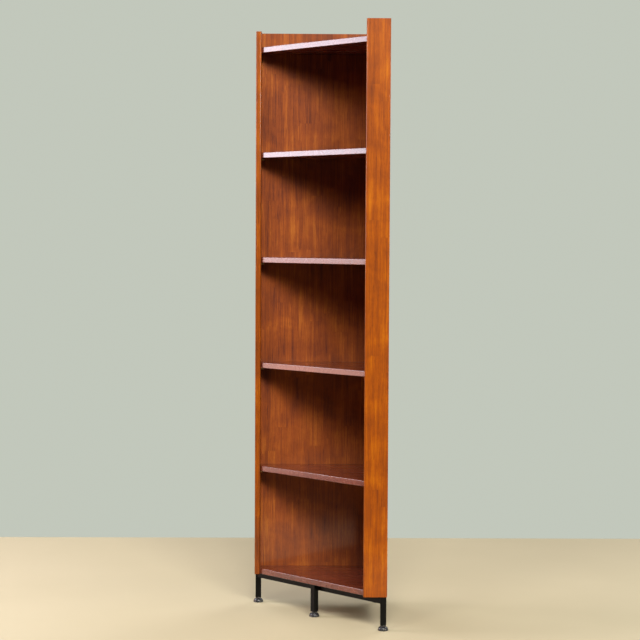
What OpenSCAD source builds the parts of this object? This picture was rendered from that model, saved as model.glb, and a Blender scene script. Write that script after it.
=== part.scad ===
// Corner bookcase with adjustable shelves, standing on a welded steel base.
//
// The case is five-sided: two wall boards meet at a square back corner, a narrow return board
// stands at the free end of each, and the front is open on the diagonal between the returns.
// Origin: middle of the footprint, on the floor. +Z is up. The back corner is at +X +Y, the
// open front faces -X -Y, and the case is the same on both sides of that diagonal.

/* [Case] */
// Outside width of each wall side
wall_w = 425; // [380:1:560]
// Height of the wooden case, without the base
case_h = 1800; // [1400:1:2300]
// Thickness of the wall boards and the returns
board_t = 18; // [15:0.5:25]
// Width of each return board
return_w = 75; // [62:1:110]
// How far the walls stand up above the top panel
top_rise = 51; // [20:1:120]
// Radius of the rounded front arrises of the returns
arris_r = 4; // [1:0.5:6]
// Radius of the eased outer corners of the case
corner_r = 1.5; // [0.5:0.5:3]

/* [Shelves] */
// Thickness of the shelves and of the top and bottom panels
shelf_t = 18; // [15:0.5:25]
// Number of loose shelves
shelf_count = 4; // [2:1:5]
// Gap round a loose shelf
shelf_gap = 1; // [0.5:0.1:2]
// How far the shelf fronts stand back from the line between the returns
front_setback = 5; // [2:1:20]
// Extra height of the middle bay
middle_bay_extra = 4.6; // [0:0.1:40]
// Radius of the eased arrises along the shelf fronts
shelf_arris_r = 1.5; // [0.5:0.5:4]

/* [Shelf pins] */
// Bore of a pin sleeve
sleeve_bore_d = 5; // [4:0.5:6]
// Outside diameter of a pin sleeve
sleeve_d = 7; // [6.5:0.5:9]
// Length of a pin sleeve
sleeve_l = 10; // [8:0.5:12]
// Length of the pin stem that goes into the sleeve
pin_stem_l = 9; // [6:0.5:10]
// Radial play of the pin stem in its sleeve
pin_play = 0.05; // [0.02:0.01:0.1]
// Diameter of the pin head that carries the shelf
pin_d = 8; // [7.5:0.5:10]
// Length of the pin head
pin_head_l = 10; // [8:0.5:14]
// Depth of the flat on top of the pin head
pin_flat = 1; // [0.5:0.1:1.5]
// Distance from the pin line to the inner corner beside it
pin_inset = 28; // [20:1:32]
// Spacing of the pin holes for one shelf
hole_pitch = 30; // [20:1:40]
// Number of spare holes above and below each shelf's pins
spare_holes = 1; // [0:1:3]

/* [Dowels] */
// Diameter of the glued dowels
dowel_d = 8; // [6:1:9]
// Length of the glued dowels
dowel_l = 30; // [25:1:40]
// Length of the dowel that goes into the face of a board
dowel_in_face = 12; // [8:0.5:12]
// Number of dowels up each board joint
dowels_per_joint = 7; // [4:1:12]
// Distance from the first dowel to the end of its joint
dowel_end = 60; // [40:1:90]

/* [Base] */
// Height of the case above the floor
base_h = 107; // [80:1:200]
// Outside width of the square tube
tube_w = 19; // [15:0.5:25]
// Wall of the square tube
tube_wall = 1.5; // [1:0.1:2]
// Radius of the tube's outside arrises
tube_r = 2; // [1:0.1:2.5]
// Distance from the case's outer faces in to the base
base_inset = 2; // [0:0.5:8]
// Thickness of the mounting plates
plate_t = 3; // [2:0.5:5]
// How far a mounting plate reaches past the tube
plate_reach = 45; // [40:1:70]
// Shank diameter of the mounting screws
screw_d = 4; // [3:0.5:5]
// Length of the mounting screws under the head
screw_l = 16; // [12:1:17]
// Distance from a screw to the tube or the plate's edge beside it
screw_edge = 7; // [6:0.5:10]

/* [Levelling feet] */
// Diameter of the foot at the floor
foot_d = 33; // [26:1:45]
// Height of the foot pad
pad_h = 13.5; // [11:0.5:20]
// Diameter of the foot's screw
stem_d = 8; // [6:1:10]
// Length of the screw above its collar
stem_l = 30; // [26:1:45]
// Width of the hexagonal collar across its flats
collar_af = 17; // [14:0.5:19]
// Thickness of the hexagonal collar
collar_t = 3; // [2:0.5:5]
// Height of the nut in the end of each leg
nut_h = 10; // [8:1:14]
// Radial play of the foot's screw in its nut and its pad
stem_play = 0.05; // [0.02:0.01:0.1]

/* [Hidden] */
$fn = 48;
over = 1; // how far a cutting body runs past what it cuts

half_w = wall_w / 2; // outer faces of the wall boards
inner = half_w - board_t; // inner faces of the boards
case_z = base_h;
case_top = case_z + case_h;
top_panel_z = case_top - top_rise - shelf_t;

// The front lines are where x + y has one value
return_front_sum = board_t - return_w;
shelf_front_sum = return_front_sum + front_setback * sqrt(2);

// Shelf heights, counted down from shelf 1 at the top
bay_h = (top_panel_z + shelf_t - case_z - shelf_t - middle_bay_extra) / (shelf_count + 1);
bays_below_middle = floor(shelf_count / 2);
function bays_under(n) = shelf_count + 1 - n;
function shelf_top(n) = case_z + shelf_t + bay_h * bays_under(n)
    + (bays_under(n) > bays_below_middle ? middle_bay_extra : 0);
function pin_z(n) = shelf_top(n) - shelf_t - pin_d / 2 + pin_flat;
hole_heights = [
    for (n = [1 : shelf_count], i = [-spare_holes : spare_holes]) pin_z(n) + i * hole_pitch
];

// Pin columns: name, place on the board's inner face, and turn of the pin about Z
SIDES = ["left", "rear", "side", "right"];
column_at = [
    [-inner, inner - pin_inset, 90],
    [inner - pin_inset, inner, 0],
    [inner, inner - pin_inset, -90],
    [inner - pin_inset, -inner, 180]
];

// Base: the tops of the tubes are under the mounting plates
tube_top = case_z - plate_t;
tube_in = tube_w - 2 * tube_wall;
leg_at = half_w - base_inset - tube_w / 2;
rail_z = tube_top - tube_w;
collar_gap = 0.5; // between the collar and the pad, so that the weight is on the screw's end
leg_z = pad_h + collar_gap + collar_t;
spigot_l = 8; // length of the screw's end inside the pad
plate_w = tube_w + plate_reach;
screw_near = max(tube_w, board_t - base_inset) + screw_edge;
screw_far = plate_w - screw_edge - screw_d / 2;
screw_head_d = 2 * screw_d;
screw_head_h = 2.6;
middle_plate_w = tube_w + 4 * screw_edge + 2 * screw_d;
middle_screw_x = tube_w / 2 + screw_edge + screw_d;

// Legs: name, place and turn about Z
LEGS = ["left", "right", "corner", "middle"];
leg_places = [
    [-leg_at, leg_at, 0],
    [leg_at, -leg_at, 0],
    [leg_at, leg_at, 0],
    [-tube_w / sqrt(2), -tube_w / sqrt(2), -45]
];

// ---- Placing ----

// The same thing on the other side of the diagonal
module other_side() {
    mirror([1, -1, 0]) children();
}

// Local X runs along the open front from left to right, local Y runs back to the corner
module along_front(sum = 0) {
    translate([sum / 2, sum / 2, 0]) rotate([0, 0, -45]) children();
}

// Local Z points out of a board's inner face at a pin column, local Y points up
module at_column(column, z) {
    place = column_at[column];
    translate([place[0], place[1], z]) rotate([90, 0, place[2]]) children();
}

module at_leg(leg) {
    place = leg_places[leg];
    translate([place[0], place[1], 0]) rotate([0, 0, place[2]]) children();
}

// ---- Shared shapes ----

// Takes the arris off a board: it runs up Z, and the board lies towards -X and -Y
module arris_cut(length, r) {
    translate([-r, -r, -over]) difference() {
        cube([r + over, r + over, length + 2 * over]);
        translate([0, 0, -over]) cylinder(r = r, h = length + 4 * over);
    }
}

// Five-sided board between the walls, kept clear of them by gap
module five_sided_board(gap) {
    face = inner - gap;
    front = shelf_front_sum;
    front_l = (2 * face + front) * sqrt(2);
    outline = [
        [-face, front + face],
        [-face, face],
        [face, face],
        [face, -face],
        [front + face, -face]
    ];
    difference() {
        linear_extrude(shelf_t) polygon(outline);
        along_front(front) {
            translate([front_l / 2, 0, shelf_t]) rotate([0, -90, 0]) rotate([0, 0, -90])
                arris_cut(front_l, shelf_arris_r);
            translate([front_l / 2, 0, 0]) rotate([0, -90, 0]) rotate([0, 0, 180])
                arris_cut(front_l, shelf_arris_r);
        }
    }
}

// Glued dowel lying on local Z: the part below Z = 0 is in one board's face, the rest in the
// other board's edge
module dowel(clearance = 0) {
    translate([0, 0, -dowel_in_face]) cylinder(d = dowel_d + clearance, h = dowel_l);
}

module square_bar(width, r, length) {
    flat = width - 2 * r;
    translate([-width / 2, -flat / 2, 0]) cube([width, flat, length]);
    translate([-flat / 2, -width / 2, 0]) cube([flat, width, length]);
    for (x = [-flat / 2, flat / 2], y = [-flat / 2, flat / 2])
        translate([x, y, 0]) cylinder(r = r, h = length);
}

// Square tube standing on Z
module square_tube(length) {
    difference() {
        square_bar(tube_w, tube_r, length);
        translate([-tube_in / 2, -tube_in / 2, -over]) cube([tube_in, tube_in, length + 2 * over]);
    }
}

// ---- Dowels ----

module joint_dowels() {
    step = (case_h - 2 * dowel_end) / (dowels_per_joint - 1);
    for (i = [0 : dowels_per_joint - 1])
        translate([0, 0, case_z + dowel_end + i * step]) children();
}

// Side board's back end into the rear board's face
module corner_dowels(clearance = 0) {
    color("burlywood") joint_dowels() translate([half_w - board_t / 2, inner, 0])
        rotate([90, 0, 0]) dowel(clearance);
}

// Rear board's left end into the left return's face
module left_return_dowels(clearance = 0) {
    color("burlywood") joint_dowels() translate([-inner, half_w - board_t / 2, 0])
        rotate([0, 90, 0]) dowel(clearance);
}

module right_return_dowels(clearance = 0) {
    other_side() left_return_dowels(clearance);
}

// From the top or bottom panel into each of the four boards round it
module panel_dowels(z, clearance = 0) {
    reach = inner - dowel_end;
    color("burlywood") translate([0, 0, z + shelf_t / 2]) {
        for (x = [-reach, 0, reach])
            translate([x, inner, 0]) rotate([90, 0, 0]) dowel(clearance);
        for (y = [-reach / 2, reach / 2])
            translate([inner, y, 0]) rotate([0, -90, 0]) dowel(clearance);
        translate([-inner, inner - pin_inset, 0]) rotate([0, 90, 0]) dowel(clearance);
        translate([inner - pin_inset, -inner, 0]) rotate([-90, 0, 0]) dowel(clearance);
    }
}

module top_panel_dowels() {
    panel_dowels(top_panel_z);
}

module bottom_panel_dowels() {
    panel_dowels(case_z);
}

// Every dowel hole in the case
module dowel_holes() {
    clearance = 0.1;
    corner_dowels(clearance);
    left_return_dowels(clearance);
    right_return_dowels(clearance);
    panel_dowels(top_panel_z, clearance);
    panel_dowels(case_z, clearance);
}

// ---- Pin sleeves and pins ----

module sleeve_holes(column) {
    for (z = hole_heights)
        at_column(column, z) translate([0, 0, -sleeve_l]) cylinder(d = sleeve_d, h = sleeve_l + over);
}

module sleeves(column) {
    color("darkgoldenrod") for (z = hole_heights)
        at_column(column, z) translate([0, 0, -sleeve_l]) difference() {
            cylinder(d = sleeve_d, h = sleeve_l);
            translate([0, 0, -over]) cylinder(d = sleeve_bore_d, h = sleeve_l + 2 * over);
        }
}

module shelf_pin(n, column) {
    stem_r = sleeve_bore_d / 2 - pin_play;
    head_r = pin_d / 2;
    ease = 0.5;
    profile = [
        [0, -pin_stem_l],
        [stem_r - ease, -pin_stem_l],
        [stem_r, -pin_stem_l + ease],
        [stem_r, 0],
        [head_r, 0],
        [head_r, pin_head_l - ease],
        [head_r - ease, pin_head_l],
        [0, pin_head_l]
    ];
    color("goldenrod") at_column(column, pin_z(n)) difference() {
        rotate_extrude() polygon(profile);
        translate([-head_r, head_r - pin_flat, -over]) cube([pin_d, pin_d, pin_head_l + 2 * over]);
    }
}

// ---- Boards ----

module rear_panel() {
    color("sienna") difference() {
        translate([-inner, inner, case_z]) cube([inner + half_w, board_t, case_h]);
        translate([half_w, half_w, case_z]) arris_cut(case_h, corner_r);
        sleeve_holes(1);
        dowel_holes();
    }
}

module side_panel() {
    color("sienna") difference() {
        translate([inner, -inner, case_z]) cube([board_t, 2 * inner, case_h]);
        sleeve_holes(2);
        dowel_holes();
    }
}

// Return board as it stands on the left, before its holes
module return_board() {
    difference() {
        translate([-half_w, half_w - return_w, case_z]) cube([board_t, return_w, case_h]);
        translate([-inner, half_w - return_w, case_z]) rotate([0, 0, -90])
            arris_cut(case_h, arris_r);
        translate([-half_w, half_w - return_w, case_z]) rotate([0, 0, 180])
            arris_cut(case_h, arris_r);
        translate([-half_w, half_w, case_z]) rotate([0, 0, 90])
            arris_cut(case_h, corner_r);
    }
}

module left_return() {
    color("peru") difference() {
        return_board();
        sleeve_holes(0);
        dowel_holes();
    }
}

module right_return() {
    color("peru") difference() {
        other_side() return_board();
        sleeve_holes(3);
        dowel_holes();
    }
}

module top_panel() {
    color("saddlebrown") difference() {
        translate([0, 0, top_panel_z]) five_sided_board(0);
        dowel_holes();
    }
}

module bottom_panel() {
    color("saddlebrown") difference() {
        translate([0, 0, case_z]) five_sided_board(0);
        dowel_holes();
        at_screws() cylinder(d = screw_d, h = screw_l + plate_t);
    }
}

module shelf(n) {
    color("brown") translate([0, 0, shelf_top(n) - shelf_t]) five_sided_board(shelf_gap);
}

// ---- Steel base ----

module leg(n) {
    color("dimgray") at_leg(n) translate([0, 0, leg_z]) square_tube(tube_top - leg_z);
}

// Space that the rear rail and the legs at its ends take from the front rail
module rear_rail_space() {
    translate([-leg_at - tube_w / 2, leg_at - tube_w / 2, rail_z - over])
        cube([2 * leg_at + tube_w, tube_w, tube_w + 2 * over]);
}

// Diagonal rail between the left and right legs, its ends cut to fit the corners they make with
// the other rails
module front_rail() {
    length = 2 * sqrt(2) * leg_at;
    color("dimgray") difference() {
        along_front() translate([-length / 2, 0, rail_z + tube_w / 2]) rotate([0, 90, 0])
            square_tube(length);
        rear_rail_space();
        other_side() rear_rail_space();
    }
}

module rear_rail() {
    length = 2 * leg_at - tube_w;
    color("dimgray") translate([-length / 2, leg_at, rail_z + tube_w / 2]) rotate([0, 90, 0])
        square_tube(length);
}

module side_rail() {
    other_side() rear_rail();
}

// Places of the screws that hold the base to the bottom panel, from under the plates
module at_screws() {
    edge = half_w - base_inset;
    for (leg = [0 : 2], near_far = [[screw_near, screw_far], [screw_far, screw_near]]) {
        sx = sign(leg_places[leg][0]);
        sy = sign(leg_places[leg][1]);
        translate([sx * (edge - near_far[0]), sy * (edge - near_far[1]), tube_top]) children();
    }
    along_front() for (x = [-middle_screw_x, middle_screw_x])
        translate([x, -tube_w, tube_top]) children();
}

module screw_clearance() {
    at_screws() translate([0, 0, -over]) cylinder(d = screw_d + 0.5, h = plate_t + 2 * over);
}

// One plate over each outer leg, its inner corner cut off
module corner_plates() {
    edge = half_w - base_inset;
    cut = plate_reach / 2;
    outline = [
        [0, 0],
        [plate_w, 0],
        [plate_w, plate_w - cut],
        [plate_w - cut, plate_w],
        [0, plate_w]
    ];
    color("dimgray") difference() {
        for (leg = [0 : 2]) {
            sx = sign(leg_places[leg][0]);
            sy = sign(leg_places[leg][1]);
            translate([sx * edge, sy * edge, tube_top]) linear_extrude(plate_t)
                polygon([for (p = outline) [-sx * p[0], -sy * p[1]]]);
        }
        screw_clearance();
    }
}

// Plate over the rail and the middle leg
module middle_plate() {
    color("dimgray") difference() {
        along_front() translate([-middle_plate_w / 2, -1.5 * tube_w, tube_top])
            cube([middle_plate_w, 2 * tube_w, plate_t]);
        screw_clearance();
    }
}

module base_screws() {
    color("silver") at_screws() {
        cylinder(d = screw_d, h = screw_l);
        translate([0, 0, -screw_head_h]) cylinder(d = screw_head_d, h = screw_head_h);
    }
}

// ---- Levelling feet ----

module leg_nuts() {
    color("silver") for (n = [0 : 3])
        at_leg(n) translate([0, 0, leg_z]) difference() {
            translate([-tube_in / 2, -tube_in / 2, 0]) cube([tube_in, tube_in, nut_h]);
            translate([0, 0, -over]) cylinder(d = stem_d + 2 * stem_play, h = nut_h + 2 * over);
        }
}

module foot_stem(n) {
    ease = 1;
    color("silver") at_leg(n) {
        translate([0, 0, pad_h - spigot_l]) cylinder(d = stem_d, h = spigot_l + collar_gap);
        translate([0, 0, pad_h + collar_gap])
            cylinder(r = collar_af / sqrt(3), h = collar_t, $fn = 6);
        translate([0, 0, leg_z]) cylinder(d = stem_d, h = stem_l - ease);
        translate([0, 0, leg_z + stem_l - ease])
            cylinder(d1 = stem_d, d2 = stem_d - 2 * ease, h = ease);
    }
}

// Domed pad: the flank is one smooth curve from the rim up to the neck
module foot_pad(n) {
    r = foot_d / 2;
    rim_h = 3;
    neck_r = collar_af / 2;
    ease = 0.8;
    bend = [r - 1, pad_h - 2.5]; // the point that the flank's curve leans towards
    flank = [
        for (i = [0 : 8])
            let (u = i / 8)
                (1 - u) * (1 - u) * [r, rim_h] + 2 * u * (1 - u) * bend + u * u * [neck_r, pad_h]
    ];
    color("black") at_leg(n) difference() {
        rotate_extrude() polygon(concat([[0, 0], [r - ease, 0], [r, ease]], flank, [[0, pad_h]]));
        translate([0, 0, pad_h - spigot_l]) cylinder(d = stem_d + 2 * stem_play, h = spigot_l + over);
    }
}

rear_panel();
side_panel();
left_return();
right_return();
top_panel();
bottom_panel();
for (n = [1 : shelf_count]) {
    shelf(n);
    for (side = [0 : 3])
        shelf_pin(n, side);
}
sleeves(0);  // left_return_sleeves
sleeves(1);  // rear_panel_sleeves
sleeves(2);  // side_panel_sleeves
sleeves(3);  // right_return_sleeves
corner_dowels();
left_return_dowels();
right_return_dowels();
top_panel_dowels();
bottom_panel_dowels();
front_rail();
rear_rail();
side_rail();
for (n = [0 : 3]) {
    leg(n);
    foot_stem(n);
    foot_pad(n);
}
corner_plates();
middle_plate();
base_screws();
leg_nuts();
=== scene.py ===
# %% [markdown]
# # A corner bookcase with adjustable shelves
#
# The bookcase is five-sided: two wall boards meet at a square corner, a narrow return board stands
# at the free end of each, and the open front runs across the diagonal. It is joined from stained,
# edge-glued hardwood and stands on a black welded steel base. The engineering model already gives
# every board, tube and pin its true size, so this lesson keeps those shapes and works on what the
# eye reads: staves and grain, lacquer, powder coat, threads, weld beads and light.

# %% Load the engineering model
import math

import bmesh
import bpy
import numpy as np
from mathutils import Matrix, Vector


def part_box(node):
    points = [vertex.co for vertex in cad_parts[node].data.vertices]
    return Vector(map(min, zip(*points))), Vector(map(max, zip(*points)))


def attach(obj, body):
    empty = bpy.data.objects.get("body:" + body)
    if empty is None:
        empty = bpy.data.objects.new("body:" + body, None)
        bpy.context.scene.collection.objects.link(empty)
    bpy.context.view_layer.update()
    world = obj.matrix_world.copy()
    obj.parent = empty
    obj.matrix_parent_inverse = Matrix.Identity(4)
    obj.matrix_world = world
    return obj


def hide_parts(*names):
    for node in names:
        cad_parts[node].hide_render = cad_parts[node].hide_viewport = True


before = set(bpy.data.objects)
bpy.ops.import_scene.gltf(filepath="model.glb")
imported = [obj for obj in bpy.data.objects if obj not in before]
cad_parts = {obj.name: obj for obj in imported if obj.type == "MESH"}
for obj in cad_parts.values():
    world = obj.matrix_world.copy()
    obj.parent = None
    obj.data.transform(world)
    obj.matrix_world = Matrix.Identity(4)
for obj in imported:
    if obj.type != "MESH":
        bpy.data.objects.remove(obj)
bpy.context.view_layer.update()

# %% [markdown]
# ## The camera
#
# A tall, narrow object is best seen from well back with a long lens, because a short lens would
# splay the walls. Here the eye is a little over five metres away and two thirds of the way up, so
# the shelves above it show their undersides and the shelves below it show their tops. The camera
# looks almost straight at the rear board, which leaves the open front slanting across the view.

# %% Camera
EYE = Vector((-0.0644, -5.3117, 1.2365))
TURN = 0.01219  # to the right of straight ahead, in radians
DIP = 0.05102  # below the horizon
LEAN = 0.00508  # a small roll, as from a tripod that is not quite level

ahead = Vector((math.sin(TURN) * math.cos(DIP), math.cos(TURN) * math.cos(DIP), -math.sin(DIP)))
level = Vector((math.cos(TURN), -math.sin(TURN), 0))
up = level.cross(ahead)
right = level * math.cos(LEAN) + up * math.sin(LEAN)
up = up * math.cos(LEAN) - level * math.sin(LEAN)

camera_data = bpy.data.cameras.new("camera")
camera_data.lens = 92.53
camera_data.sensor_width = 36.0
camera = bpy.data.objects.new("camera", camera_data)
camera.matrix_world = Matrix.Translation(EYE) @ Matrix((right, up, -ahead)).transposed().to_4x4()
bpy.context.scene.collection.objects.link(camera)
bpy.context.scene.camera = camera
print("camera is", round(EYE.length, 2), "m from the middle of the footprint")

# %% [markdown]
# ## A small vocabulary for materials
#
# A procedural material is a formula drawn as nodes. A class with a few short methods keeps each
# formula readable: `node` adds a node and sets it up, `maths` does arithmetic, `noise` gives a
# random field, and `ramp` and `mix` turn a number into a colour. A value that is the same all over a
# surface is set straight on its socket, so that it survives an export.

# %% Node helpers
class Recipe:
    """The nodes of one material. An input may be given as a number or as another node's output."""

    def __init__(self, name):
        self.material = bpy.data.materials.new(name)
        self.material.use_nodes = True
        self.tree = self.material.node_tree
        self.surface = self.tree.nodes["Principled BSDF"]
        self.place = self.node("ShaderNodeTexCoord").outputs["Object"]

    def feed(self, socket, value):
        if isinstance(value, bpy.types.NodeSocket):
            self.tree.links.new(value, socket)
        else:
            socket.default_value = value

    def node(self, kind, settings=None, **inputs):
        made = self.tree.nodes.new(kind)
        for key, value in (settings or {}).items():
            setattr(made, key, value)
        for key, value in inputs.items():
            self.feed(made.inputs[key.replace("_", " ")], value)
        return made

    def maths(self, operation, first, second=0.0, third=0.0):
        made = self.tree.nodes.new("ShaderNodeMath")
        made.operation = operation
        for socket, value in zip(made.inputs, (first, second, third)):
            self.feed(socket, value)
        return made.outputs[0]

    def vector(self, x, y, z):
        return self.node("ShaderNodeCombineXYZ", X=x, Y=y, Z=z).outputs[0]

    def shift(self, one, other):
        made = self.node("ShaderNodeVectorMath", {"operation": "ADD"})
        self.feed(made.inputs[0], one)
        self.feed(made.inputs[1], other)
        return made.outputs[0]

    def noise(self, vector, scale, detail=3.0, roughness=0.55, distortion=0.0):
        made = self.node("ShaderNodeTexNoise", Vector=vector, Scale=scale, Detail=detail,
                         Roughness=roughness, Distortion=distortion)
        return made.outputs["Fac"]

    def between(self, value, low, high, to_low=0.0, to_high=1.0):
        """A smooth step: to_low where value is under low, to_high where it is over high."""
        made = self.node("ShaderNodeMapRange", {"interpolation_type": "SMOOTHSTEP"})
        for socket, number in zip(made.inputs, (value, low, high, to_low, to_high)):
            self.feed(socket, number)
        return made.outputs[0]

    def ramp(self, value, *stops):
        """A colour that moves through (position, colour) stops as value grows."""
        made = self.node("ShaderNodeValToRGB", Fac=value)
        steps = made.color_ramp.elements
        while len(steps) < len(stops):
            steps.new(0.5)
        for step, (position, colour) in zip(steps, stops):
            step.position = position
            step.color = (*colour, 1.0)
        return made.outputs[0]

    def mix(self, amount, one, other, blend="MIX"):
        made = self.node("ShaderNodeMix", {"data_type": "RGBA", "blend_type": blend})
        sockets = (made.inputs[0], made.inputs[6], made.inputs[7])
        for socket, value in zip(sockets, (amount, one, other)):
            ready = isinstance(value, (float, bpy.types.NodeSocket))
            self.feed(socket, value if ready else (*value, 1.0))
        return made.outputs[2]

    def relief(self, height, depth, strength=1.0):
        """Feeds a height between 0 and 1 to the surface as a bump of that depth in metres."""
        made = self.node("ShaderNodeBump", Height=height, Distance=depth, Strength=strength)
        self.feed(self.surface.inputs["Normal"], made.outputs[0])

    def set(self, **inputs):
        for key, value in inputs.items():
            self.feed(self.surface.inputs[key.replace("_", " ")], value)
        return self.material


def dress(material, *names):
    """Puts one material on the named CAD nodes."""
    for name in names:
        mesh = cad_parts[name].data
        mesh.materials.clear()
        mesh.materials.append(material)
    print(material.name, "on", len(names), "nodes")


# %% [markdown]
# ## Stained, edge-glued hardwood
#
# Each board is glued up from staves about forty millimetres wide, and each stave is pieced end to
# end from shorter lengths. No two lengths take the stain alike, so the board is a patchwork of close
# tones, with grain that stops at every joint. A solid texture suits this: the colour is worked out
# in the thickness of the wood as well as on its faces, so the end grain on a top edge agrees with
# the long grain beside it. The place of a point gives the number of its stave, that number draws a
# random shift, and the shifted place gives the number of the length within the stave.

# %% Wood recipe
STAVE_WIDTH = 0.038
LENGTH_OF_PIECE = 0.42
GLUE_LINE = 0.00035
RING_WIDTH = 0.0026
RELIEF_DEPTH = 0.00008
AXES = {"x": 0, "y": 1, "z": 2}


def stained_wood(name, across, along, seed, tones, gloss=0.26, lacquer=0.4, shine=0.12, relief=0.5):
    """Wood with its grain on the axis `along` and its staves side by side on the axis `across`.

    The tone is a weighted sum: broad figure, fine streaks, fibres, one random step for each glued
    piece, soft blotches of stain, and a little less in each growth ring. The ramp turns the sum
    into a colour between the three tones, and glue lines and pores darken it. `gloss` is the
    roughness under the lacquer, `lacquer` the weight of the clear coat, and `shine` the reflection
    of the wood itself.
    """
    wood = Recipe(name)
    through = ({"x", "y", "z"} - {across, along}).pop()
    xyz = wood.node("ShaderNodeSeparateXYZ", Vector=wood.place).outputs
    u, v, w = (xyz[AXES[axis]] for axis in (across, through, along))

    # Number of the stave, number of the piece within it, and one random draw for each piece. The
    # ends of the pieces are finger-jointed, which shows as a zigzag through the thickness.
    staves = wood.maths("DIVIDE", wood.maths("ADD", u, 0.41 * seed), STAVE_WIDTH)
    stave = wood.maths("FLOOR", staves)
    drawn = wood.node("ShaderNodeTexWhiteNoise", {"noise_dimensions": "1D"},
                      W=wood.maths("ADD", stave, 17.3 * seed)).outputs["Value"]
    zigzag = wood.maths("MULTIPLY", wood.maths("PINGPONG", v, 0.002), 4.0)
    lengths = wood.maths("DIVIDE", wood.maths("ADD", w, zigzag), LENGTH_OF_PIECE)
    lengths = wood.maths("ADD", lengths, wood.maths("MULTIPLY", drawn, 9.0))
    piece = wood.node("ShaderNodeTexWhiteNoise", {"noise_dimensions": "2D"},
                      Vector=wood.vector(stave, wood.maths("FLOOR", lengths), 0.0)).outputs
    scatter = wood.node("ShaderNodeVectorMath", {"operation": "SCALE"}, Vector=piece["Color"],
                        Scale=31.0)

    def grain(per_metre_across, per_metre_along, detail, roughness=0.6, distortion=0.0):
        """Noise stretched along the grain, cut off from its neighbours at the edges of the piece."""
        stretched = wood.vector(wood.maths("MULTIPLY", u, per_metre_across),
                                wood.maths("MULTIPLY", v, per_metre_across),
                                wood.maths("MULTIPLY", w, per_metre_along))
        return wood.noise(wood.shift(stretched, scatter.outputs[0]), 1.0, detail, roughness, distortion)

    figure = grain(48.0, 2.6, 3.0, 0.6, 0.7)
    streaks = grain(260.0, 5.0, 4.0, 0.7)
    fibre = grain(1100.0, 22.0, 2.0)
    pores = wood.between(grain(2100.0, 75.0, 1.0, 0.5), 0.6, 0.7)
    blotch = wood.noise(wood.place, 9.0, 3.0, 0.6, 0.4)

    # Growth rings: distance from a heart that lies at random for each piece, bent by the figure
    heart = wood.node("ShaderNodeVectorMath", {"operation": "SCALE"}, Vector=piece["Color"], Scale=0.16)
    from_heart = wood.node("ShaderNodeVectorMath", {"operation": "LENGTH"},
                           Vector=wood.shift(wood.vector(u, v, 0.0), heart.outputs[0])).outputs["Value"]
    ring = wood.maths("MULTIPLY_ADD", from_heart, 1.0 / RING_WIDTH, wood.maths("MULTIPLY", figure, 5.0))
    ring = wood.between(wood.maths("FRACT", ring), 0.35, 0.95)

    tone = wood.maths("MULTIPLY_ADD", figure, 0.34, wood.maths("MULTIPLY", streaks, 0.5))
    tone = wood.maths("ADD", tone, wood.maths("MULTIPLY_ADD", fibre, 0.3, -0.19))
    tone = wood.maths("ADD", tone, wood.maths("MULTIPLY_ADD", piece["Value"], 0.07, -0.035))
    tone = wood.maths("ADD", tone, wood.maths("MULTIPLY_ADD", blotch, 0.45, -0.105))
    tone = wood.maths("MULTIPLY_ADD", ring, -0.07, tone)
    dark, mid, light = tones
    colour = wood.ramp(tone, (0.22, dark), (0.52, mid), (0.82, light))

    # Glue lines: distance to the nearer of a stave's edge and a piece's end
    edge = wood.maths("MULTIPLY", wood.maths("PINGPONG", staves, 0.5), STAVE_WIDTH)
    end = wood.maths("MULTIPLY", wood.maths("PINGPONG", lengths, 0.5), LENGTH_OF_PIECE)
    joint = wood.between(wood.maths("MINIMUM", edge, end), 0.0, GLUE_LINE, 1.0, 0.0)
    marks = wood.maths("MAXIMUM", wood.maths("MULTIPLY", joint, 0.3),
                       wood.maths("MULTIPLY", pores, 0.45))
    colour = wood.mix(marks, colour, tuple(0.25 * channel for channel in dark))

    # Relief: pores and glue lines are sunk, and the lacquer has a faint orange peel
    orange_peel = wood.noise(wood.place, 420.0, 1.0)
    height = wood.maths("MULTIPLY_ADD", wood.maths("MAXIMUM", joint, pores), -0.7, 0.75)
    height = wood.maths("MULTIPLY_ADD", orange_peel, 0.25, height)
    wood.relief(height, RELIEF_DEPTH, relief)
    rough = wood.maths("MULTIPLY_ADD", figure, 0.06, gloss)
    return wood.set(Base_Color=colour, Roughness=rough, Specular_IOR_Level=shine, Coat_Weight=lacquer,
                    Coat_Roughness=0.11, Coat_IOR=1.5)


# Dark, middle and light tone of each stain
WALL_TONES = ((0.068, 0.019, 0.014), (0.240, 0.057, 0.013), (0.475, 0.158, 0.022))
RETURN_TONES = ((0.080, 0.017, 0.006), (0.255, 0.055, 0.003), (0.490, 0.152, 0.004))
SHELF_TONES = ((0.050, 0.011, 0.009), (0.125, 0.026, 0.013), (0.230, 0.058, 0.024))

WALL_FINISH = {"tones": WALL_TONES}
RETURN_FINISH = {"tones": RETURN_TONES, "gloss": 0.3, "lacquer": 0.18}
SHELF_FINISH = {"tones": SHELF_TONES, "gloss": 0.24, "lacquer": 0.7, "shine": 0.35, "relief": 0.03}
print("stave", 1000 * STAVE_WIDTH, "mm wide, pieces", 1000 * LENGTH_OF_PIECE, "mm long")

# %% [markdown]
# ## Which way the grain runs
#
# A joiner runs the grain up the wall boards and the returns, because wood carries its load that way,
# and along the rear wall in the shelves. The staves lie side by side across each board, which is X on
# the boards that face the room and Y on those that face sideways. The shelves get a redder stain and
# a glossier lacquer than the walls, because things are slid over them.

# %% Wood on the boards
wall_grain = {"rear_panel": "x", "side_panel": "y", "left_return": "y", "right_return": "x"}
for number, (board, across) in enumerate(wall_grain.items(), 1):
    finish = RETURN_FINISH if "return" in board else WALL_FINISH
    dress(stained_wood(board + "_wood", across, "z", number, **finish), board)

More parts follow.
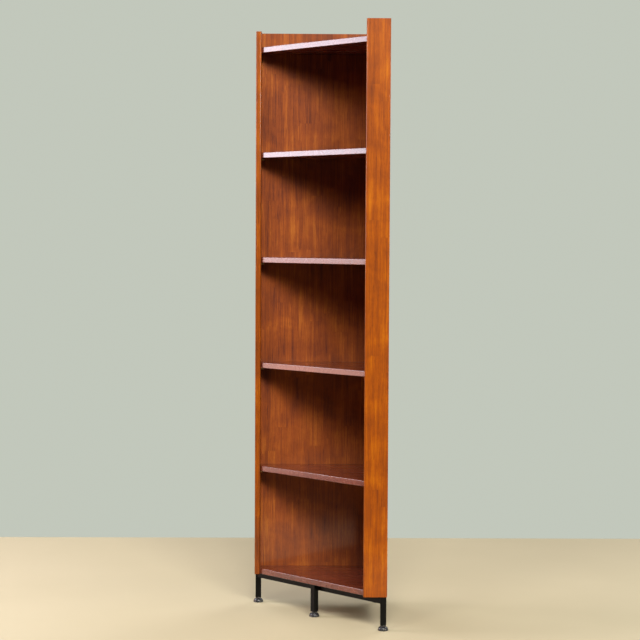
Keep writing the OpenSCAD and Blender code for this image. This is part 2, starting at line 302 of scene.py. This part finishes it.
level_boards = ["top_panel", "shelf_1", "shelf_2", "shelf_3", "shelf_4", "bottom_panel"]
for number, board in enumerate(level_boards, 5):
    dress(stained_wood(board + "_wood", "y", "x", number, **SHELF_FINISH), board)

# %% [markdown]
# ## Softened arrises
#
# A machined board leaves the saw with edges that would cut a hand, and a few strokes of sandpaper
# take them off. The large radii are in the engineering model already. The rest get a bevel under a
# millimetre wide, which is enough to catch a thin line of light. It is a modifier, so the exact
# mesh below it stays as it is.

# %% Softened arrises on the boards
ARRIS = 0.0007


def soften(name):
    """Joins the loose triangles of a board and rounds what sharp edges it still has."""
    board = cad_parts[name]
    weld = board.modifiers.new("weld", "WELD")
    weld.merge_threshold = 0.00001
    bevel = board.modifiers.new("arris", "BEVEL")
    bevel.width = ARRIS
    bevel.segments = 2
    bevel.limit_method = "ANGLE"
    bevel.angle_limit = math.radians(50)


for board in [*wall_grain, *level_boards]:
    soften(board)
print("arrises of", 1000 * ARRIS, "mm on", len(wall_grain) + len(level_boards), "boards")

# %% [markdown]
# ## Steel, brass, zinc and plastic
#
# Powder coat is a thick, slightly pebbled paint, so its colour is nearly flat and its character is
# in the bump, with a little dust where a cloth doesn't reach. Bronzed brass and dark zinc plate are
# metals, so they colour what they reflect, and uneven tarnish and fine scratches keep the reflection
# from looking new. The feet are moulded plastic with a harder shine, and the dowels are plain beech
# with the short dark flecks of that wood.

# %% Powder-coated steel
def powder_coat():
    """Black paint with pebbles in the bump and dust that lightens and roughens it in patches."""
    coat = Recipe("black_powder_coat")
    pebble = coat.noise(coat.place, 1500.0, 2.0)
    dust = coat.between(coat.noise(coat.place, 60.0, 4.0, 0.7), 0.5, 0.75)
    colour = coat.mix(coat.maths("MULTIPLY", dust, 0.25),
                      (0.0015, 0.0015, 0.0015), (0.010, 0.0095, 0.009))
    coat.relief(pebble, 0.00012, 0.5)
    return coat.set(Base_Color=colour, Roughness=coat.maths("MULTIPLY_ADD", dust, 0.12, 0.3),
                    Specular_IOR_Level=0.13)


def bright_metal(name, colour, roughness):
    """A plated or turned metal: fine scratches every way and a little uneven tarnish."""
    metal = Recipe(name)
    tarnish = metal.noise(metal.place, 160.0, 4.0, 0.6)
    scratches = metal.noise(metal.place, 3000.0, 2.0, 0.7)
    tint = metal.mix(metal.between(tarnish, 0.35, 0.75), colour, tuple(0.6 * c for c in colour))
    metal.relief(scratches, 0.00003, 0.6)
    return metal.set(Base_Color=tint, Metallic=1.0,
                     Roughness=metal.maths("MULTIPLY_ADD", tarnish, 0.2, roughness))


def moulded_plastic():
    """Black plastic with a haze that lightens and roughens it in patches."""
    plastic = Recipe("moulded_plastic")
    haze = plastic.noise(plastic.place, 220.0, 3.0)
    colour = plastic.mix(plastic.between(haze, 0.45, 0.8), (0.014, 0.014, 0.016), (0.04, 0.04, 0.042))
    plastic.relief(plastic.noise(plastic.place, 2600.0, 1.0), 0.00004, 0.4)
    return plastic.set(Base_Color=colour, Roughness=plastic.maths("MULTIPLY_ADD", haze, 0.2, 0.17))


def beech():
    """Pale wood with short darker flecks."""
    wood = Recipe("dowel_beech")
    flecks = wood.between(wood.noise(wood.place, 900.0, 3.0), 0.5, 0.7)
    colour = wood.mix(flecks, (0.52, 0.34, 0.18), (0.38, 0.22, 0.1))
    wood.relief(flecks, 0.0001)
    return wood.set(Base_Color=colour, Roughness=0.6)


SIDES = ["left", "rear", "side", "right"]
LEGS = ["left", "right", "corner", "middle"]
steel = powder_coat()
brass = bright_metal("bronzed_brass", (0.30, 0.20, 0.10), 0.3)
zinc = bright_metal("dark_zinc_plate", (0.11, 0.11, 0.12), 0.3)
plastic = moulded_plastic()
dress(steel, "front_rail", "rear_rail", "side_rail", "corner_plates", "middle_plate",
      *[leg + "_leg" for leg in LEGS])
dress(brass, *[f"shelf_{n}_{side}_pin" for n in (1, 2, 3, 4) for side in SIDES],
      "left_return_sleeves", "rear_panel_sleeves", "side_panel_sleeves", "right_return_sleeves")
dress(zinc, "leg_nuts", "base_screws", *[leg + "_foot_stem" for leg in LEGS])
dress(plastic, *[leg + "_foot_pad" for leg in LEGS])
dress(beech(), "corner_dowels", "left_return_dowels", "right_return_dowels", "top_panel_dowels",
      "bottom_panel_dowels")

# %% [markdown]
# ## Surfaces from formulas
#
# Every new piece below is a grid of points worked out by numpy. A turned part is a profile of radius
# and height carried round an axis; a thread or a hexagon is the same grid with a radius that also
# depends on the angle; a weld is a small ring carried along a path. One helper turns a grid into a
# mesh: neighbouring points make a face, the last column joins the first, points that meet at a pole
# are merged, and the faces are turned to point outwards.

# %% From grid to piece
MM = 0.001
BODY = "bookcase"
LEG_PLACES = {}
for leg in LEGS:
    low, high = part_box(leg + "_leg")
    LEG_PLACES[leg] = np.array([(low[0] + high[0]) / 2, (low[1] + high[1]) / 2, 0.0])
    print(leg, "leg centre in mm:", np.round(1000 * LEG_PLACES[leg][:2]).tolist())


def grid_faces(rows, columns):
    """Quads between neighbouring rows, with the last column joined to the first."""
    row, column = np.meshgrid(np.arange(rows - 1), np.arange(columns), indexing="ij")
    after = (column + 1) % columns
    corners = (row * columns + column, row * columns + after, (row + 1) * columns + after,
               (row + 1) * columns + column)
    return np.stack(corners, axis=-1).reshape(-1, 4)


def piece_from_grids(name, grids, material, body, sharp=40):
    """Makes one object from grids of points in metres, each rows x columns x 3 and closed round."""
    points = np.concatenate([grid.reshape(-1, 3) for grid in grids])
    starts = np.cumsum([0] + [grid.shape[0] * grid.shape[1] for grid in grids[:-1]])
    faces = np.concatenate([start + grid_faces(*grid.shape[:2]) for start, grid in zip(starts, grids)])
    mesh = bpy.data.meshes.new(name)
    mesh.from_pydata(points.tolist(), [], faces.tolist())
    shape = bmesh.new()
    shape.from_mesh(mesh)
    bmesh.ops.remove_doubles(shape, verts=shape.verts, dist=0.000002)
    bmesh.ops.dissolve_degenerate(shape, edges=shape.edges, dist=0.000001)
    bmesh.ops.recalc_face_normals(shape, faces=shape.faces)
    shape.to_mesh(mesh)
    shape.free()
    mesh.shade_smooth()
    mesh.set_sharp_from_angle(angle=math.radians(sharp))
    mesh.materials.append(material)
    piece = bpy.data.objects.new(name, mesh)
    bpy.context.scene.collection.objects.link(piece)
    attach(piece, body)
    return piece


def turned(profile, columns=64):
    """Carries (radius, height) points round local Z: x = r cos t, y = r sin t, z = h. In metres."""
    profile = MM * np.array(profile, float)
    t = np.linspace(0, 2 * np.pi, columns, endpoint=False)
    radius, height = profile[:, :1], profile[:, 1:]
    return np.stack([radius * np.cos(t), radius * np.sin(t), height + 0 * t], axis=-1)


def rounded(points, steps=5):
    """Rounds a profile in millimetres. Each inner corner becomes a quadratic curve from a point
    back on one side to a point on along the other, a quarter of the shorter side away and at most
    half a millimetre: (1 - u)^2 back + 2 u (1 - u) corner + u^2 on.
    """
    points = np.array(points, float)
    before, corner, after = points[:-2], points[1:-1], points[2:]
    reach = np.minimum(np.linalg.norm(corner - before, axis=1), np.linalg.norm(after - corner, axis=1))
    back = (before - corner) / np.linalg.norm(before - corner, axis=1)[:, None]
    on = (after - corner) / np.linalg.norm(after - corner, axis=1)[:, None]
    reach = np.minimum(0.25 * reach, 0.5)[:, None]
    u = np.linspace(0, 1, steps)[None, :, None]
    curve = ((1 - u) ** 2 * (corner + back * reach)[:, None] + 2 * u * (1 - u) * corner[:, None]
             + u ** 2 * (corner + on * reach)[:, None])
    return np.concatenate([points[:1], curve.reshape(-1, 2), points[-1:]])


# %% [markdown]
# ## Foot pads
#
# Each leg ends in a moulded foot that spreads the weight: a flat base, a short rim, a shallow groove
# where the two halves of the mould met, and a dome that rises to a neck with a socket for the screw.
# A cylinder with bevels would miss the dome's curve. In a mould this is one profile turned about the
# screw, and here it is the same. Each point is (radius, height) in millimetres.

# %% Foot pads
DOME_CENTRE_R, DOME_CENTRE_Z, DOME_WIDTH, DOME_HEIGHT = 9.1, 3.8, 6.5, 8.0
rim = [(0, 0), (15.2, 0), (16.5, 0.9), (16.5, 3.0), (15.7, 3.5)]
turn = np.linspace(0, np.pi / 2, 14)
dome_r = DOME_CENTRE_R + DOME_WIDTH * np.cos(turn)
dome = np.stack([dome_r, DOME_CENTRE_Z + DOME_HEIGHT * np.sin(turn)], axis=1)
neck = [(8.7, 12.2), (8.7, 13.2), (8.3, 13.5), (4.1, 13.5), (4.1, 5.6), (0, 5.6)]
pad_profile = np.concatenate([rounded(rim), dome, rounded(neck)])
for leg, place in LEG_PLACES.items():
    pad = piece_from_grids(leg + "_foot", [turned(pad_profile, 72) + place], plastic,
                           leg + "_foot_pad")
    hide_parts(leg + "_foot_pad")
print("foot pads:", len(pad.data.polygons), "faces each")

# %% [markdown]
# ## Foot screws
#
# The foot turns on an M8 screw with a hexagonal collar, so that a spanner can level the case. The
# thread's radius depends on the height and on the angle together: one turn round moves the pattern
# up by the pitch, which is what makes it a helix. A hexagon's radius is its half width divided by
# the cosine of the angle from the middle of the nearest flat, and a chamfer caps that radius near
# the collar's top and bottom.

# %% Foot screws
PITCH, THREAD_R, THREAD_DEPTH = 1.25, 4.0, 0.72
COLLAR_LOW, COLLAR_HIGH, HALF_FLATS = 14.0, 17.0, 8.5
STEM_LOW, STEM_HIGH = 5.6, 47.0
CHAMFER_SLOPE = 1.9
STEPS_PER_PITCH = 9


def foot_screw(turned_by, columns=48):
    """Radius by height z and angle t: plain end, chamfered hexagon, then a thread with a tapered tip.

    Thread: the outer radius less the depth times how far z / pitch - t / turn is from a crest.
    Collar: half the flats over the cosine of the angle from the nearest flat, at most the chamfer.
    """
    t = np.linspace(0, 2 * np.pi, columns, endpoint=False)
    ends = np.array([STEM_LOW, STEM_LOW, COLLAR_LOW - 0.01, COLLAR_LOW])
    collar = np.linspace(COLLAR_LOW, COLLAR_HIGH, 13)
    thread = np.arange(COLLAR_HIGH + 0.01, STEM_HIGH, PITCH / STEPS_PER_PITCH)
    z = np.concatenate([ends, collar, thread, [STEM_HIGH, STEM_HIGH]])[:, None]
    hexagon = HALF_FLATS / np.cos((t + np.pi / 6) % (np.pi / 3) - np.pi / 6)
    chamfer = HALF_FLATS + 0.2 + CHAMFER_SLOPE * np.minimum(z - COLLAR_LOW, COLLAR_HIGH - z)
    wave = 1 - 2 * np.abs((z / PITCH - t / (2 * np.pi)) % 1 - 0.5)
    fade = np.clip((z - COLLAR_HIGH) / 2, 0, 1) * np.clip((STEM_HIGH - z) / 1.5, 0, 1)
    threaded = THREAD_R - THREAD_DEPTH * fade * (1 - wave) - np.clip(z - STEM_HIGH + 1, 0, 1)
    in_collar = (z >= COLLAR_LOW) & (z <= COLLAR_HIGH)
    outside = np.where(z > COLLAR_HIGH, threaded, THREAD_R)
    radius = np.where(in_collar, np.minimum(hexagon, chamfer), outside)
    radius[3] = THREAD_R
    radius[[0, -1]] = 0
    t = t + turned_by
    return MM * np.stack([radius * np.cos(t), radius * np.sin(t), z + 0 * t], axis=-1)


for leg, place in LEG_PLACES.items():
    turned_by = -np.pi / 4 if leg == "middle" else 0.0  # its tube stands square to the open front
    screw = piece_from_grids(leg + "_foot_screw", [foot_screw(turned_by) + place], zinc,
                             leg + "_foot_stem", 35)
    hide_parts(leg + "_foot_stem")
print("foot screws:", len(screw.data.polygons), "faces each")

# %% [markdown]
# ## Shelf pins
#
# A shelf rests on four turned pins. Each has a slim stem for the sleeve in the board, a shoulder that
# stops against the board, a head with a grip groove, and a flat filed on top so that the shelf sits
# down firmly. The profile is turned as on a lathe, and the flat is made by capping the height of the
# turned head, which keeps the grid whole where a cut would leave ragged faces. Because of the flat
# and the shoulder, the middle of a pin's box is half a millimetre under its axis and half a
# millimetre out from its shoulder, and the pin is placed by its axis and shoulder.

# %% Shelf pins
FLAT_AT = 3.0
AXIS_OVER_MIDDLE = 0.5
MIDDLE_PAST_SHOULDER = 0.5
OUT_OF_BOARD = {"left": (1, 0, 0), "rear": (0, -1, 0), "side": (-1, 0, 0), "right": (0, 1, 0)}
pin_profile = rounded([(0, -9), (1.9, -9), (2.45, -8.4), (2.45, -0.01), (3.6, 0), (4, 0.35), (4, 6.9),
                       (3.5, 7.3), (3.5, 7.8), (4, 8.2), (4, 9.4), (3.4, 10), (0, 10)], 4)


def pin_at(centre, out_of_board):
    """The turned profile with its Z pointing out of the board, and the head's top held under the flat.

    Each point is centre + x side + min(y, flat) up + z out, where side is up crossed with out.
    """
    local = turned(pin_profile, 40)
    out = np.array(out_of_board, float)
    up = np.array([0.0, 0.0, 1.0])
    side = np.cross(up, out)
    head = local[..., 2:] >= 0
    rise = np.where(head, np.minimum(local[..., 1:2], FLAT_AT * MM), local[..., 1:2])
    return centre + local[..., :1] * side + rise * up + local[..., 2:] * out


for number in (1, 2, 3, 4):
    for side, out in OUT_OF_BOARD.items():
        node = f"shelf_{number}_{side}_pin"
        low, high = (np.array(corner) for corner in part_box(node))
        shift = np.array([0, 0, AXIS_OVER_MIDDLE]) - MIDDLE_PAST_SHOULDER * np.array(out)
        centre = (low + high) / 2 + MM * shift
        pin = piece_from_grids(node + "_turned", [pin_at(centre, out)], brass, node)
        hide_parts(node)
print("shelf pins:", len(pin.data.polygons), "faces each")

# %% [markdown]
# ## Base screws
#
# Eight cross-head screws come up through the plates into the bottom board. Seen from underneath,
# each is a low dome with a cross sunk into it. The dome rises with the square of the radius. The
# recess is deep where the lesser of |x| and |y| is small, and fades out towards the ends of the
# cross. A cut with a solid cross would do too, but here the recess is one more term in the height.

# %% Base screws
HEAD_R, HEAD_H, SHANK_R, SHANK_TOP = 4.0, 2.6, 2.0, 16.0
TUBE = 19.0
PLATE_SCREW_IN = 45.5  # from a leg's middle to the inner screw of its plate
BESIDE_MIDDLE_LEG = 20.5
LEG_AT = LEG_PLACES["corner"][0] / MM
tube_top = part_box("corner_leg")[1][2] / MM
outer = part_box("base_screws")[1][0] / MM - HEAD_R
inner = LEG_AT - PLATE_SCREW_IN
signs = np.array([(-1, 1), (1, -1), (1, 1)])
at_corners = np.concatenate([signs * (outer, inner), signs * (inner, outer)])
slant = np.array([[BESIDE_MIDDLE_LEG, -TUBE], [-BESIDE_MIDDLE_LEG, -TUBE]])
at_middle = np.stack([slant[:, 0] + slant[:, 1], slant[:, 1] - slant[:, 0]], axis=1) / math.sqrt(2)
screw_places = np.concatenate([at_corners, at_middle])
print("screw places in mm:", screw_places.round(1).tolist())

# %% Cross recess
HEAD_ROWS = 37
ARM_HALF_WIDTH, ARM_LENGTH, RECESS_DEPTH = 0.62, 2.3, 1.5

head_r = np.linspace(0, 3.6, HEAD_ROWS)
dome_z = -HEAD_H + 0.07 * head_r ** 2
stem = [(HEAD_R, -1.2), (HEAD_R, -0.05), (3.9, 0), (SHANK_R, 0), (SHANK_R, 14), (0, SHANK_TOP)]
screw_grid = turned(np.concatenate([np.stack([head_r, dome_z], axis=1), stem]), 96)
arms = np.sort(np.abs(screw_grid[:HEAD_ROWS, :, :2]) / MM, axis=-1)
across_arm = np.clip((ARM_HALF_WIDTH - arms[..., 0]) / 0.2, 0, 1)
along_arm = np.clip((ARM_LENGTH - arms[..., 1]) / 0.9, 0, 1)
screw_grid[:HEAD_ROWS, :, 2] += RECESS_DEPTH * MM * (across_arm * along_arm)
screws = [screw_grid + MM * np.array([x, y, tube_top]) for x, y in screw_places]
base_screws = piece_from_grids("base_cross_screws", screws, zinc, BODY, 30)
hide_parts("base_screws")
print("base screws:", len(screws), "in one piece,", len(base_screws.data.polygons), "faces")

# %% [markdown]
# ## Weld beads
#
# The base is welded from square tube, and a weld leaves a rope of overlapping ripples along the
# inside of each joint. Each bead is a small ring swept along its joint, with a radius that swells
# and shrinks once a ripple and tapers at both ends. A bump in the paint would vanish in outline,
# and a curve with a round profile would have no ripples. The joints on the outer faces are left
# smooth, because a fabricator grinds those flush before coating.

# %% Weld bead
BEAD_R, RIPPLE, RIPPLE_HEIGHT, STEP = 1.25, 1.3, 0.16, 0.2
SMOOTHED_OVER = 6  # steps each way


def bead(corners):
    """Sweeps a rippled ring along a path of straight runs in millimetres, its corners smoothed.

    Each point is path + r (cos t beside + sin t (along x beside)), where r is the bead's radius
    plus a ripple |sin(pi s / ripple)| at the distance s, and falls as a square root to each end.
    """
    corners = np.array(corners, float)
    runs = np.linalg.norm(np.diff(corners, axis=0), axis=1)
    at = np.concatenate([[0], np.cumsum(runs)])
    s = np.linspace(0, at[-1], int(at[-1] / STEP))
    path = np.stack([np.interp(s, at, corners[:, axis]) for axis in range(3)], axis=1)
    padded = np.pad(path, ((SMOOTHED_OVER, SMOOTHED_OVER), (0, 0)), mode="edge")
    windows = [padded[k:k + len(path)] for k in range(2 * SMOOTHED_OVER + 1)]
    path = np.mean(windows, axis=0)
    along = np.gradient(path, axis=0)
    along /= np.linalg.norm(along, axis=1)[:, None]
    # Square to the path's plane. The small offset gives a straight path a plane too.
    flat = np.cross(corners[1] - corners[0], corners[-1] - corners[0] + (0.1, 0.2, 0.3))
    flat /= np.linalg.norm(flat)
    beside = np.cross(along, flat)
    t = np.linspace(0, 2 * np.pi, 20, endpoint=False)[None, :, None]
    ripple = BEAD_R + RIPPLE_HEIGHT * np.abs(np.sin(np.pi * s / RIPPLE))
    radius = ripple * np.sqrt(np.clip(np.minimum(s, s[-1] - s) / BEAD_R, 0, 1))
    ring = np.cos(t) * beside[:, None] + np.sin(t) * np.cross(along, beside)[:, None]
    return MM * (path[:, None] + radius[:, None, None] * ring)


# %% [markdown]
# ## Where the welds run
#
# The front rail meets the left and right legs at a slant, and a bead goes down one side of the cut,
# across underneath and up the other. The middle leg is welded to the rail's front face in the same
# way. The rear and side rails have a bead underneath at each end, and one more stands in the back
# corner. In the plan, x and y change places for the mirror half of the base.

# %% Weld beads
near, far = LEG_AT - TUBE / 2, LEG_AT + TUBE / 2 - 1
low_z, high_z = tube_top - TUBE, tube_top - 1
cut = TUBE / math.sqrt(2)
u_path = [(cut - near, high_z), (cut - near, low_z), (-cut - near, low_z), (-cut - near, high_z)]
root = TUBE / 2 / math.sqrt(2)
middle = [(-root - root * side, -root + root * side, z)
          for side, z in ((1, high_z), (1, low_z), (-1, low_z), (-1, high_z))]
joints = [
    [(x, near, z) for x, z in u_path], [(near, x, z) for x, z in u_path], middle,
    [(-near, near, low_z), (-near, far, low_z)], [(near, near, low_z), (near, far, low_z)],
    [(near, -near, low_z), (far, -near, low_z)], [(near, near, low_z), (far, near, low_z)],
    [(near, near, low_z), (near, near, high_z)],
]
beads = [bead(joint) for joint in joints]
welds = piece_from_grids("weld_beads", beads, steel, BODY, 60)
print("weld beads:", len(joints), "runs,", len(welds.data.polygons), "faces")

# %% [markdown]
# ## The floor and the light
#
# The bookcase stands on a plain pale floor under soft light. Two keys stand high, one straight in
# front and one to its right, so each shelf throws a slanting shadow on the rear board and the right
# return shades the far side of each bay. A weaker lamp at the front left and a broad one at the right
# open the shadows. A pale panel stands on the left, out of view: the slanting shelf fronts are glossy,
# and what they mirror is that panel, which turns the upper ones almost white. Its lower part is
# dimmer and redder, as a wooden floor would be, and so are the lower fronts. Two lamps behind light
# the outer faces of the walls.

# %% Floor
FLOOR_HALF = 1.38


def plain_floor():
    """Two close sandy tones in soft clouds."""
    paint = Recipe("pale_floor")
    cloud = paint.noise(paint.place, 2.5, 3.0)
    colour = paint.mix(cloud, (0.43, 0.37, 0.235), (0.47, 0.405, 0.265))
    return paint.set(Base_Color=colour, Roughness=0.55)


floor_mesh = bpy.data.meshes.new("floor")
corners = FLOOR_HALF * np.array([(-1, -1, 0), (1, -1, 0), (1, 1, 0), (-1, 1, 0)])
floor_mesh.from_pydata(corners.tolist(), [], [(0, 1, 2, 3)])
floor = bpy.data.objects.new("floor", floor_mesh)
floor_mesh.materials.append(plain_floor())
bpy.context.scene.collection.objects.link(floor)
print("floor", 2 * FLOOR_HALF, "m square")

# %% Lights
MIDDLE = Vector((0, 0, 0.95))
LAMP_DISTANCE = 6.2
WARM, PALE, GOLDEN = (1.0, 0.97, 0.92), (0.95, 0.97, 1.0), (1.0, 0.9, 0.7)
LILAC, RUSSET = (0.90, 0.88, 1.0), (1.0, 0.62, 0.53)


def soft_light(name, place, target, width, height, watts, colour):
    """A rectangle of light that faces its target."""
    data = bpy.data.lights.new(name, "AREA")
    data.shape = "RECTANGLE"
    data.size = width
    data.size_y = height
    data.energy = watts
    data.color = colour
    lamp = bpy.data.objects.new(name, data)
    lamp.location = place
    lamp.rotation_euler = (Vector(target) - Vector(place)).to_track_quat("-Z", "Y").to_euler()
    bpy.context.scene.collection.objects.link(lamp)


def round_the_case(name, bearing, height, watts, colour, size=1.5):
    """A square lamp that faces the case, with its bearing in degrees to the right of straight ahead."""
    a, e = math.radians(bearing), math.radians(height)
    away = LAMP_DISTANCE * Vector((math.cos(e) * math.sin(a), -math.cos(e) * math.cos(a), math.sin(e)))
    soft_light(name, MIDDLE + away, MIDDLE, size, size, watts, colour)


round_the_case("key_low", 20, 28, 290, WARM)
round_the_case("key_high", 0, 38, 300, WARM)
round_the_case("left_front", -35, 35, 105, WARM)
round_the_case("right_side", 60, 2, 260, GOLDEN, 3.2)
round_the_case("behind_left", -140, 35, 160, PALE, 3.0)
round_the_case("behind_right", 140, 35, 160, PALE, 3.0)
soft_light("left_panel", (-3.0, 0.35, 2.05), (0, 0.35, 2.05), 1.5, 1.8, 106, LILAC)
soft_light("left_panel_foot", (-3.0, 0.35, 0.6), (0, 0.35, 0.6), 1.5, 1.1, 30, RUSSET)
print("lamps:", len(bpy.data.lights))

# %% [markdown]
# ## The room
#
# The camera sees a pale grey-green room. The same tone all round would flood the bays and take away
# their shadows, so the light that the room gives is a separate and much weaker background, and a
# node that tells camera rays from the rest picks between the two.

# %% Room
world = bpy.data.worlds.new("pale_room")
world.use_nodes = True
tree = world.node_tree
seen = tree.nodes["Background"]
seen.inputs["Color"].default_value = (0.54, 0.575, 0.50, 1)
fill = tree.nodes.new("ShaderNodeBackground")
fill.inputs["Color"].default_value = (0.75, 0.85, 1.0, 1)
fill.inputs["Strength"].default_value = 0.025
pick = tree.nodes.new("ShaderNodeMixShader")
tree.links.new(tree.nodes.new("ShaderNodeLightPath").outputs["Is Camera Ray"], pick.inputs[0])
tree.links.new(fill.outputs[0], pick.inputs[1])
tree.links.new(seen.outputs[0], pick.inputs[2])
tree.links.new(pick.outputs[0], tree.nodes["World Output"].inputs["Surface"])
bpy.context.scene.world = world
bpy.context.scene.view_settings.view_transform = "Standard"
